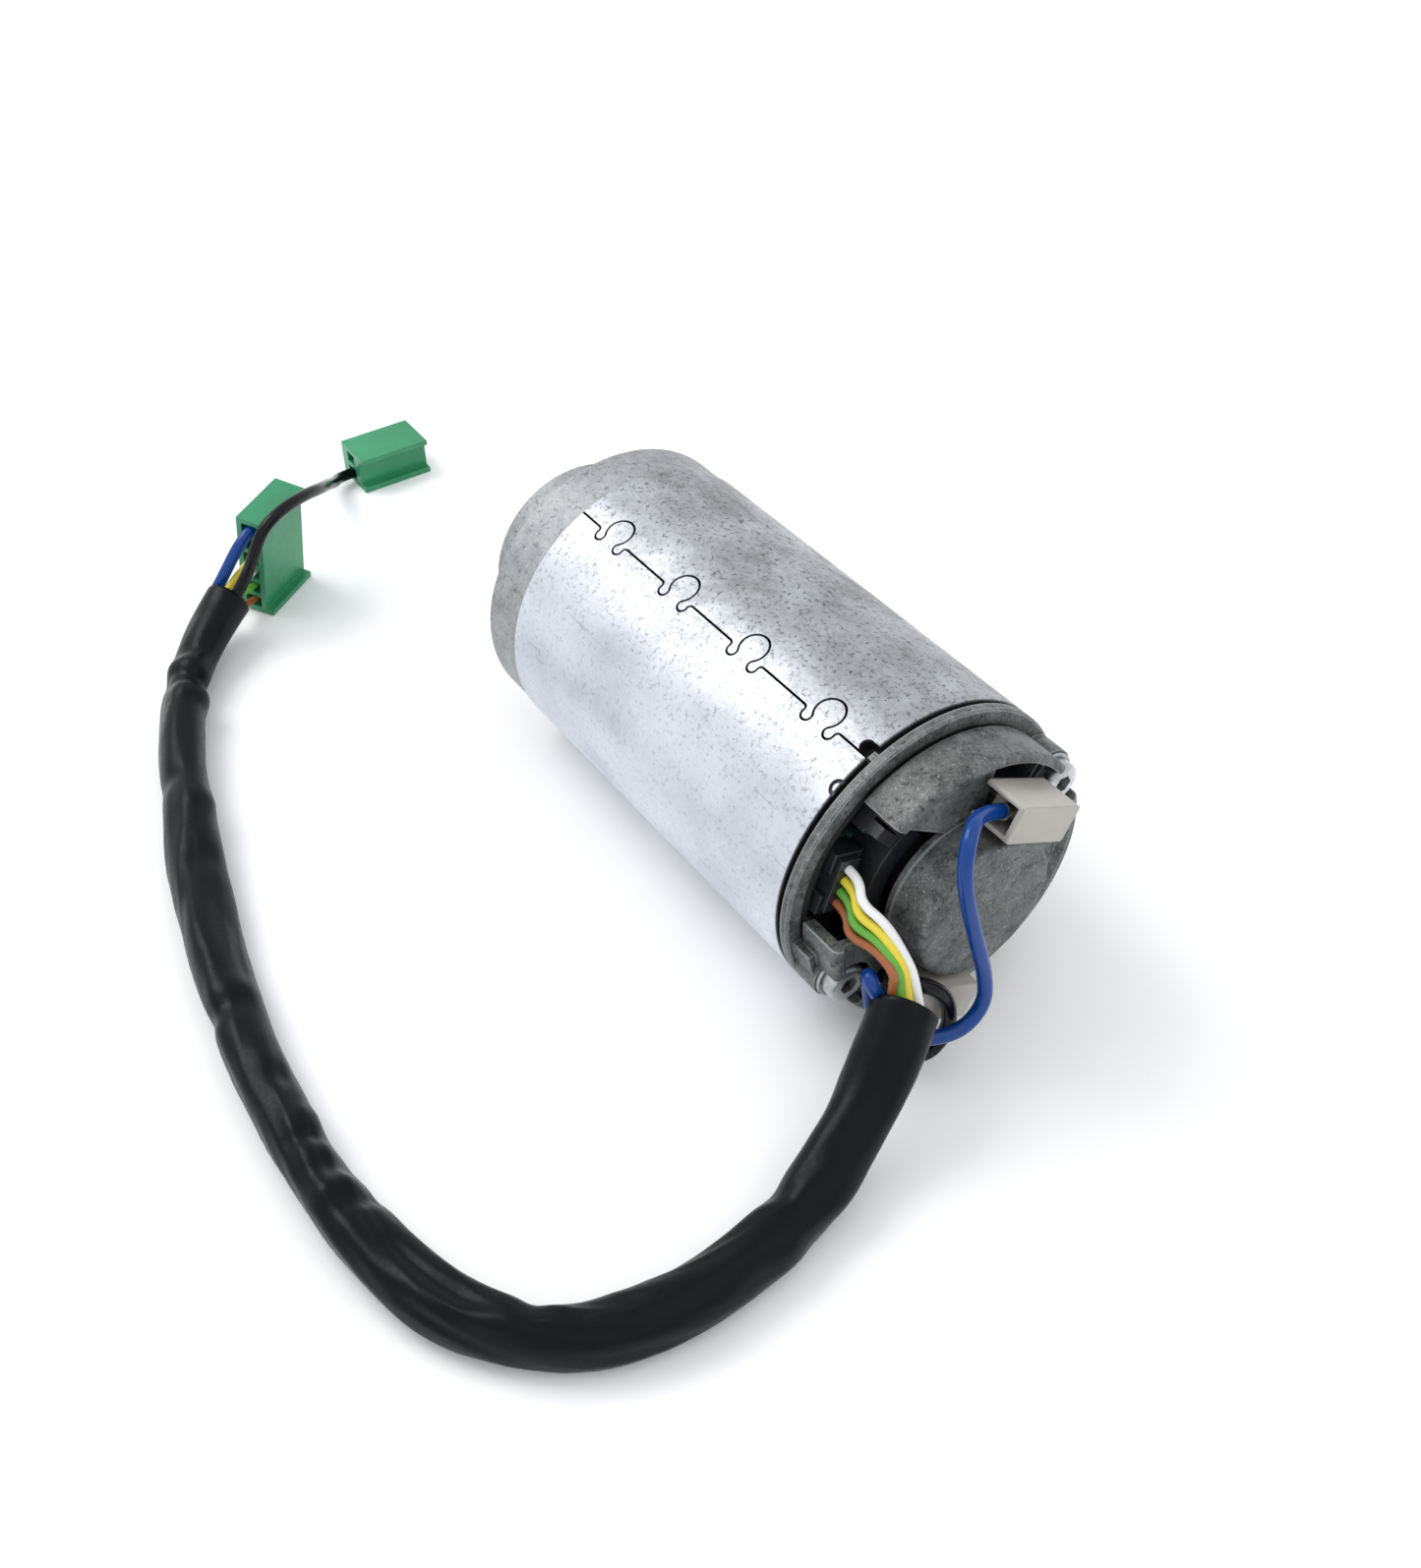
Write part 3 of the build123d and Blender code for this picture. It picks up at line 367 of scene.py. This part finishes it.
finishes = {
    "tube": tube_steel, "front_cover": front_alloy, "rear_cover": rear_alloy,
    "through_bolts": zinc, "bolt_washers": zinc, "shaft": ground_steel,
    "magnet_upper": ferrite, "magnet_lower": ferrite, "sensor_magnet": ferrite, "choke_cores": ferrite,
    "preload_washer": sheet_steel, "brush_spring_a": sheet_steel, "brush_spring_b": sheet_steel,
    "brush_card": black_plastic, "ribbon_socket": black_plastic, "ribbon_plug": black_plastic,
    "hall_sensors": black_plastic, "brush_holder_a": brass, "brush_holder_b": brass,
    "brush_a": carbon, "brush_b": carbon, "choke_coils": copper, "windings": copper,
    "commutator_bars": copper, "commutator_hub": phenolic, "sensor_board": board,
    "socket_pins": tin, "terminal_tab_a": tin, "terminal_tab_b": tin, "receptacle_a": tin,
    "receptacle_b": tin, "crimp_contacts": tin, "armature_core": laminations,
    "flag_housing_a": nylon, "flag_housing_b": nylon,
    "six_way_connector": green, "two_way_connector": green,
}
for name, obj in nodes.items():
    if name in finishes:
        dress(obj, finishes[name])
    elif "bearing" in name:
        dress(obj, sheet_steel if "cage" in name else ground_steel)


# ------------------------------------------------------------------ cords
FLOOR = bounds_at_load[0][2]
SLEEVE_R = 0.0053
SLEEVE_THIN = 0.0040
SLEEVE_FAT = 0.0068
SLEEVE_WALL = 0.0006
SLEEVE_STEP = 0.0008
SLEEVE_SIDES = 72
SIGNAL_R = 0.00086
LEAD_R = 0.00142
# height of the sleeve's middle line where it lies on the floor
LYING = -0.0262


def route_curve(name, points, radius=0.0):
    """A smooth cord whose control points are the route, bevelled to a radius or left bare."""
    data = bpy.data.curves.new(name, "CURVE")
    data.dimensions = "3D"
    spline = data.splines.new("NURBS")
    spline.points.add(len(points) - 1)
    for point, place in zip(spline.points, points):
        point.co = (*place, 1.0)
    spline.order_u = 3
    spline.use_endpoint_u = True
    spline.resolution_u = 10
    data.bevel_depth = radius
    data.bevel_resolution = 5
    data.use_fill_caps = radius > 0
    obj = bpy.data.objects.new(name, data)
    bpy.context.scene.collection.objects.link(obj)
    return obj


def line_of(curve):
    """Points along a bare curve."""
    bpy.context.view_layer.update()
    seen = bpy.data.meshes.new_from_object(curve)
    points = [v.co.copy() for v in seen.vertices]
    bpy.data.meshes.remove(seen)
    return points


def evenly(points, step):
    """The same line, read again at even spacing."""
    runs = [(b - a).length for a, b in zip(points, points[1:])]
    total = sum(runs)
    count = max(2, round(total / step))
    out, at, done = [], 0, 0.0
    for k in range(count + 1):
        want = total * k / count
        while at < len(runs) - 1 and done + runs[at] < want:
            done += runs[at]
            at += 1
        share = (want - done) / runs[at] if runs[at] else 0.0
        out.append(points[at].lerp(points[at + 1], min(1.0, share)))
    return out


def frames_along(points):
    """A tangent, a sideways and an upward direction at each point, level where the line is level."""
    out = []
    for k, point in enumerate(points):
        tangent = (points[min(k + 1, len(points) - 1)] - points[max(k - 1, 0)]).normalized()
        side = tangent.cross(Vector((0, 0, 1))).normalized()
        out.append((point, tangent, side, side.cross(tangent).normalized()))
    return out


SLEEVE_ROUTE = [
    (-0.1240, 0.0205, -0.0100), (-0.1310, 0.0336, -0.0206), (-0.1376, 0.0520, LYING),
    (-0.1412, 0.0730, LYING), (-0.1394, 0.0885, LYING), (-0.1323, 0.1012, LYING),
    (-0.1209, 0.1099, LYING), (-0.1054, 0.1143, LYING), (-0.0840, 0.1164, LYING),
    (-0.0560, 0.1148, LYING), (-0.0220, 0.1088, LYING), (0.0100, 0.0996, LYING), (0.0370, 0.0904, LYING),
    (0.0545, 0.0810, LYING), (0.0646, 0.0718, -0.0244), (0.0702, 0.0634, -0.0214),
]


def bump_at(value, centre, width):
    """A smooth hump of height 1."""
    return math.exp(-((value - centre) / width) ** 2)


# folds in the sleeve: share of its length, angle round it, reach along and round, height in metres
FOLDS = (
    (0.030, 2.2, 0.020, 1.0, 0.0005), (0.105, 2.7, 0.016, 0.9, 0.0010), (0.132, 0.9, 0.010, 0.9, -0.0011),
    (0.150, 2.9, 0.012, 0.8, 0.0009), (0.178, 1.9, 0.020, 0.6, 0.0006), (0.235, 2.4, 0.040, 0.5, 0.0007),
    (0.262, 1.2, 0.022, 0.5, -0.0006), (0.292, 0.8, 0.010, 0.9, -0.0010), (0.305, 1.9, 0.024, 0.4, 0.0008),
    (0.330, 1.3, 0.020, 0.4, -0.0008), (0.352, 2.2, 0.026, 0.4, 0.0007), (0.375, 1.4, 0.022, 0.4, -0.0006),
    (0.418, 1.0, 0.007, 1.0, -0.0009), (0.432, 1.3, 0.006, 0.9, 0.0006), (0.447, 1.0, 0.007, 0.9, -0.0009),
    (0.470, 1.2, 0.006, 0.9, -0.0007), (0.486, 0.8, 0.008, 0.8, 0.0005), (0.520, 1.1, 0.010, 0.7, -0.0006),
    (0.582, 2.3, 0.009, 0.9, -0.0009), (0.596, 1.2, 0.010, 0.8, 0.0006), (0.648, 1.9, 0.035, 0.4, 0.0006),
    (0.715, 1.0, 0.012, 0.7, -0.0006), (0.775, 0.8, 0.012, 0.8, 0.0007), (0.800, 2.3, 0.010, 0.8, -0.0007),
    (0.862, 1.7, 0.025, 0.5, 0.0005), (0.888, 0.7, 0.009, 1.1, 0.0012), (0.908, 1.2, 0.007, 1.3, -0.0019),
    (0.924, 2.4, 0.008, 0.9, 0.0009), (0.938, 1.5, 0.008, 0.7, -0.0008), (0.968, 2.0, 0.016, 0.7, 0.0003),
)


# the mouth is cut obliquely, its upper rear lip standing further out
LIP = 0.0016
LIP_SIDE = Vector((-0.60, 0.42, 0.68))


def turn_between(one, two):
    """The smaller angle between two directions round the sleeve."""
    return abs((one - two + math.pi) % (2 * math.pi) - math.pi)


def sleeve_radius(s, angle):
    """Distance from the sleeve's line to its skin: flattened, twisting, creased and folded."""
    calm = min(1.0, s / 0.05, (1 - s) / 0.03)
    flat = (0.09 + 0.10 * noise.noise(Vector((s * 7, 0.3, 5.2)))) * calm
    lean = 1.1 * math.sin(s * 9.0) + 1.3 * noise.noise(Vector((s * 5, 8.1, 2.2)))
    radius = SLEEVE_R * (1 + flat * math.cos(2 * (angle - lean)))
    swell = 0.17 * bump_at(s, 0.0, 0.035) - 0.09 * bump_at(s, 0.925, 0.03) - 0.06 * bump_at(s, 0.30, 0.05)
    radius *= 1 + swell
    twisted = angle + 9.0 * s
    limp = 0.04 + 0.10 * bump_at(s, 0.36, 0.16)
    wide = noise.noise(Vector((s * 17, math.cos(twisted) * 1.1, math.sin(twisted) * 1.1 + 3.1)))
    crease = abs(noise.noise(Vector((s * 15 + 4, math.cos(twisted) * 1.7, math.sin(twisted) * 1.7))))
    fine = noise.noise(Vector((s * 75 + 9, math.cos(angle) * 2.4, math.sin(angle) * 2.4)))
    radius *= 1 + calm * (0.075 * wide + limp * (0.25 - crease)) + 0.010 * fine
    for at, way, reach, spread, height in FOLDS:
        if abs(s - at) < 3 * reach:
            radius += height * bump_at(s, at, reach) * bump_at(turn_between(angle, way), 0.0, spread)
    return min(max(radius, SLEEVE_THIN), SLEEVE_FAT)


# how each end turns in: depth inside it in metres, and share of the wall
TUCK = ((-0.0002, 0.25), (0.0, 0.8), (0.004, 1.0), (0.009, 1.0))


def sleeve_mesh(name, points):
    """A limp PVC sleeve: round at the mouth, baggy and creased along the way, flat underneath."""
    around = SLEEVE_SIDES
    stations = frames_along(points)
    last = len(stations) - 1
    verts, faces = [], []
    for k, (point, tangent, side, up) in enumerate(stations):
        s = k / last
        for j in range(around):
            angle = 2 * math.pi * j / around
            out = side * math.cos(angle) + up * math.sin(angle)
            place = point + out * sleeve_radius(s, angle)
            place -= tangent * (LIP * out.dot(LIP_SIDE) * bump_at(s, 0.0, 0.02))
            place.z = max(place.z, FLOOR)
            verts.append(place)
    for k in range(last):
        for j in range(around):
            a, b = k * around + j, k * around + (j + 1) % around
            faces.append((a, b, b + around, a + around))
    # each end turns in over its lip and runs back inside
    for end, direction in ((0, 1), (last, -1)):
        point, tangent = stations[end][:2]
        ring = end * around
        rows = [ring]
        for depth, inset in TUCK:
            row = len(verts)
            for j in range(around):
                place = verts[ring + j].copy()
                place += (point - place).normalized() * SLEEVE_WALL * inset
                place += tangent * depth * direction
                verts.append(place)
            rows.append(row)
        for one, two in zip(rows, rows[1:]):
            for j in range(around):
                n = (j + 1) % around
                face = (one + j, two + j, two + n, one + n)
                faces.append(face if direction > 0 else face[::-1])
        centre = len(verts)
        verts.append(point + tangent * TUCK[-1][0] * direction)
        for j in range(around):
            face = (rows[-1] + j, centre, rows[-1] + (j + 1) % around)
            faces.append(face if direction > 0 else face[::-1])
    mesh = bpy.data.meshes.new(name)
    mesh.from_pydata([tuple(v) for v in verts], [], faces)
    mesh.update()
    mesh.shade_smooth()
    obj = bpy.data.objects.new(name, mesh)
    bpy.context.scene.collection.objects.link(obj)
    return obj


guide = route_curve("sleeve_guide", SLEEVE_ROUTE)
sleeve_line = evenly(line_of(guide), SLEEVE_STEP)
bpy.data.objects.remove(guide)
sleeve = sleeve_mesh("sleeve", sleeve_line)
dress(sleeve, pvc)
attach(sleeve, "case")
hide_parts("harness_sleeve")

# brush springs, wound as coils of wire in place of the plain ones
BRUSH_X = -0.0875
BRUSH_ANGLES = {"a": math.radians(65), "b": math.radians(245)}
SPRING_START = 0.0193
SPRING_LONG = 0.0054
SPRING_R = 0.0019
SPRING_WIRE_R = 0.00025
COIL_STEPS = 12
COIL_POINTS = 5 * COIL_STEPS
for letter, angle in BRUSH_ANGLES.items():
    outward = Vector((0, math.cos(angle), math.sin(angle)))
    across = outward.cross(Vector((1, 0, 0)))
    coil = []
    for k in range(COIL_POINTS + 1):
        phase = 2 * math.pi * k / COIL_STEPS
        height = SPRING_START + SPRING_LONG * k / COIL_POINTS
        swing = Vector((math.cos(phase), 0, 0)) + across * math.sin(phase)
        coil.append(tuple(Vector((BRUSH_X, 0, 0)) + outward * height + swing * SPRING_R))
    wire = route_curve("spring_line_" + letter, coil, SPRING_WIRE_R)
    bpy.context.view_layer.update()
    spring = bpy.data.objects.new("coil_spring_" + letter, bpy.data.meshes.new_from_object(wire))
    bpy.context.scene.collection.objects.link(spring)
    bpy.data.objects.remove(wire)
    dress(spring, sheet_steel)
    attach(spring, "case")
    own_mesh(spring)
    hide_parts("brush_spring_" + letter)

# the sleeve's mouth, where the wires go in
MOUTH = Vector(SLEEVE_ROUTE[0])
mouth_out = Vector((-0.40, 0.72, -0.57)).normalized()
mouth_x = Vector((0.72, 0.40, 0.0)).normalized()
mouth_y = mouth_out.cross(mouth_x)


def at_mouth(x, y):
    """A place in the mouth's plane, in millimetres across it."""
    return tuple(MOUTH + mouth_x * (x / 1000) + mouth_y * (y / 1000))


def follow(name, points, radius, mat):
    """A wire along a route, in place of the plain rod of the same name."""
    wire = route_curve(name + "_wire", points, radius)
    dress(wire, mat)
    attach(wire, "case")
    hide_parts(name)
    return wire


# each signal wire: its place on the plug, middle points, place in the mouth and length
SIGNALS = {
    "white": (
        (0.02038, 0.01062),
        ((-0.1173, 0.0203, 0.0062), (-0.1204, 0.0182, -0.0003), (-0.1230, 0.0176, -0.0042)),
        (-3.3, -1.2), 0.0314,
    ),
    "yellow": (
        (0.02115, 0.00834),
        ((-0.1172, 0.0209, 0.0042), (-0.1211, 0.0193, -0.0012), (-0.1228, 0.0192, -0.0051)),
        (-1.5, -2.6), 0.0278,
    ),
    "green": (
        (0.02191, 0.00606),
        ((-0.1170, 0.0215, 0.0026), (-0.1217, 0.0205, -0.0017), (-0.1224, 0.0206, -0.0051)),
        (0.0, -3.0), 0.0245,
    ),
    "brown": (
        (0.02267, 0.00379),
        ((-0.1168, 0.0222, 0.0009), (-0.1221, 0.0217, -0.0014), (-0.1219, 0.0220, -0.0050)),
        (1.75, -2.6), 0.0223,
    ),
}
PLUG_REAR = -0.1066
LEAVES = -0.1098
# how far the wires sag just behind the plug
SAG = (-0.0026, 0.0018, -0.0024)
for colour, (spot, middles, end, length) in SIGNALS.items():
    dip = (LEAVES + SAG[0], spot[0] + SAG[1], spot[1] + SAG[2])
    points = [(PLUG_REAR, *spot), (LEAVES, *spot), dip, *middles, at_mouth(*end)]
    wire = follow("signal_wire_" + colour, points, SIGNAL_R, insulation[colour])

BLUE_ROUTE = [
    (-0.1181, -0.0032, 0.0204), (-0.1181, 0.0021, 0.0232), (-0.1224, 0.0086, 0.0254),
    (-0.1252, 0.0116, 0.0194), (-0.1262, 0.0102, 0.0110), (-0.1270, 0.0077, 0.0016),
    (-0.1276, 0.0052, -0.0076), (-0.1282, 0.0048, -0.0146), (-0.1284, 0.0096, -0.0186),
    (-0.1266, 0.0160, -0.0186), (-0.1220, 0.0200, -0.0190), (-0.1182, 0.0222, -0.0156),
    (-0.1166, 0.0224, -0.0098), (-0.1173, 0.0236, -0.0040), (-0.1198, 0.0247, -0.0044),
    at_mouth(3.7, -0.4),
]
BLACK_ROUTE = [
    (-0.1181, 0.0149, -0.0143), (-0.1181, 0.0190, -0.0122), (-0.1206, 0.0174, -0.0076),
    (-0.1240, 0.0124, -0.0096), (-0.1246, 0.0096, -0.0160), (-0.1248, 0.0096, -0.0228),
    (-0.1246, 0.0146, -0.0270), (-0.1208, 0.0186, -0.0246), (-0.1185, 0.0189, -0.0192),
    (-0.1191, 0.0179, -0.0138), at_mouth(-1.0, 3.4),
]
blue = follow("lead_blue", BLUE_ROUTE, LEAD_R, insulation["blue"])
black = follow("lead_black", BLACK_ROUTE, LEAD_R, insulation["black"])

# the far end of the sleeve, where the tails come out
far = Vector(SLEEVE_ROUTE[-1])
far_out = (far - Vector(SLEEVE_ROUTE[-2])).normalized()
far_x = Vector((-far_out.y, far_out.x, 0)).normalized()
far_y = far_out.cross(far_x)


def at_far_end(x, y, beyond=0.0):
    """A place across the sleeve's far end in millimetres, and beyond it in metres."""
    return far + far_x * (x / 1000) + far_y * (y / 1000) + far_out * beyond


# where the six-way connector stands, how it is turned and how it leans
SIX_PLACE = (0.0715, 0.0530, FLOOR)
SIX_TURN = math.radians(-56)
SIX_LEAN = math.radians(8)
six_turn = Matrix.Translation(SIX_PLACE) @ Matrix.Rotation(SIX_TURN, 4, "Z")
six_turn = six_turn @ Matrix.Rotation(SIX_LEAN, 4, "X")
CELL_HEIGHTS = (0.0028, 0.0070, 0.0112, 0.0154, 0.0196, 0.0238)
CELL_SIDE = 0.00525


def six_way(x, cell):
    """A point in a cell of the six-way connector, x along the wire's way in."""
    return six_turn @ Vector((x, CELL_SIDE, CELL_HEIGHTS[cell]))


# each short tail: its place across the sleeve's end, its cell in the connector and its radius
TAILS = {
    "blue": ((2.6, 2.4), 5, LEAD_R), "yellow": ((-0.2, 2.7), 3, SIGNAL_R), "white": ((0.2, 0.6), 2, SIGNAL_R),
    "green": ((2.0, -0.8), 1, SIGNAL_R), "brown": ((0.4, -3.0), 0, SIGNAL_R),
}
for colour, (spot, cell, radius) in TAILS.items():
    points = [at_far_end(*spot), at_far_end(*spot, 0.0018), six_way(-0.0028, cell), six_way(0.0035, cell)]
    follow("tail_" + colour, [tuple(p) for p in points], radius, insulation[colour])

TAIL_BLACK_ROUTE = [
    tuple(at_far_end(-2.8, 2.2)), (0.0678, 0.0588, -0.0156), (0.0664, 0.0564, -0.0094),
    (0.0666, 0.0530, -0.0036), (0.0688, 0.0470, -0.0018), (0.0728, 0.0396, -0.0028),
    (0.0792, 0.0324, -0.0068), (0.0900, 0.0268, -0.0138), (0.0998, 0.0228, -0.0204),
    (0.1082, 0.0180, -0.0262), (0.1137, 0.0141, -0.0288), (0.1136, 0.0067, -0.0288),
]
tail_black = follow("tail_black", TAIL_BLACK_ROUTE, LEAD_R, insulation["black"])


# ------------------------------------------------------------------ floor, light and camera
def floor_material():
    """A white, matte floor, very slightly uneven."""
    mat, tree, shader, place = new_material("floor")
    white = ramp(tree, grain(tree, place, 6, 3), (0.3, grey(0.93)), (0.7, grey(0.96)))
    tree.links.new(white, shader.inputs["Base Color"])
    shader.inputs["Roughness"].default_value = 0.9
    shader.inputs["Specular IOR Level"].default_value = 0.1
    return mat


bpy.ops.mesh.primitive_plane_add(size=6, location=(0, 0, FLOOR))
floor = bpy.context.object
floor.name = "floor"
dress(floor, floor_material())


def area_light(name, place, target, size, power):
    """A square white light aimed at a target."""
    data = bpy.data.lights.new(name, "AREA")
    data.energy = power
    data.size = size
    light = bpy.data.objects.new(name, data)
    light.location = place
    light.rotation_mode = "QUATERNION"
    light.rotation_quaternion = (Vector(target) - Vector(place)).to_track_quat("-Z", "Y")
    bpy.context.scene.collection.objects.link(light)


camera_place = Vector((-0.2623, 0.1596, 0.2239))
camera_aim = Vector((0.5975, -0.4227, -0.6815))
right = Vector((-0.578, -0.816, 0)).normalized()
ahead = Vector((0.816, -0.578, 0)).normalized()
middle = Vector((-0.04, 0.03, 0))
area_light("key", middle - right * 0.60 + ahead * 0.30 + Vector((0, 0, 0.80)), middle, 0.6, 5.2)
area_light("fill", middle + right * 0.6 - ahead * 0.4 + Vector((0, 0, 0.9)), middle, 1.2, 1.6)

world = bpy.data.worlds.new("studio")
bpy.context.scene.world = world
world.use_nodes = True
world.node_tree.nodes["Background"].inputs["Color"].default_value = (0.95, 0.97, 1.0, 1)
world.node_tree.nodes["Background"].inputs["Strength"].default_value = 0.98

camera_data = bpy.data.cameras.new("camera")
camera_data.lens = 39.65
camera_data.sensor_width = 36
camera_data.clip_start = 0.01
camera = bpy.data.objects.new("camera", camera_data)
camera.location = camera_place
camera.rotation_mode = "QUATERNION"
camera.rotation_quaternion = camera_aim.to_track_quat("-Z", "Y")
bpy.context.scene.collection.objects.link(camera)
bpy.context.scene.camera = camera
bpy.context.scene.view_settings.view_transform = "Standard"
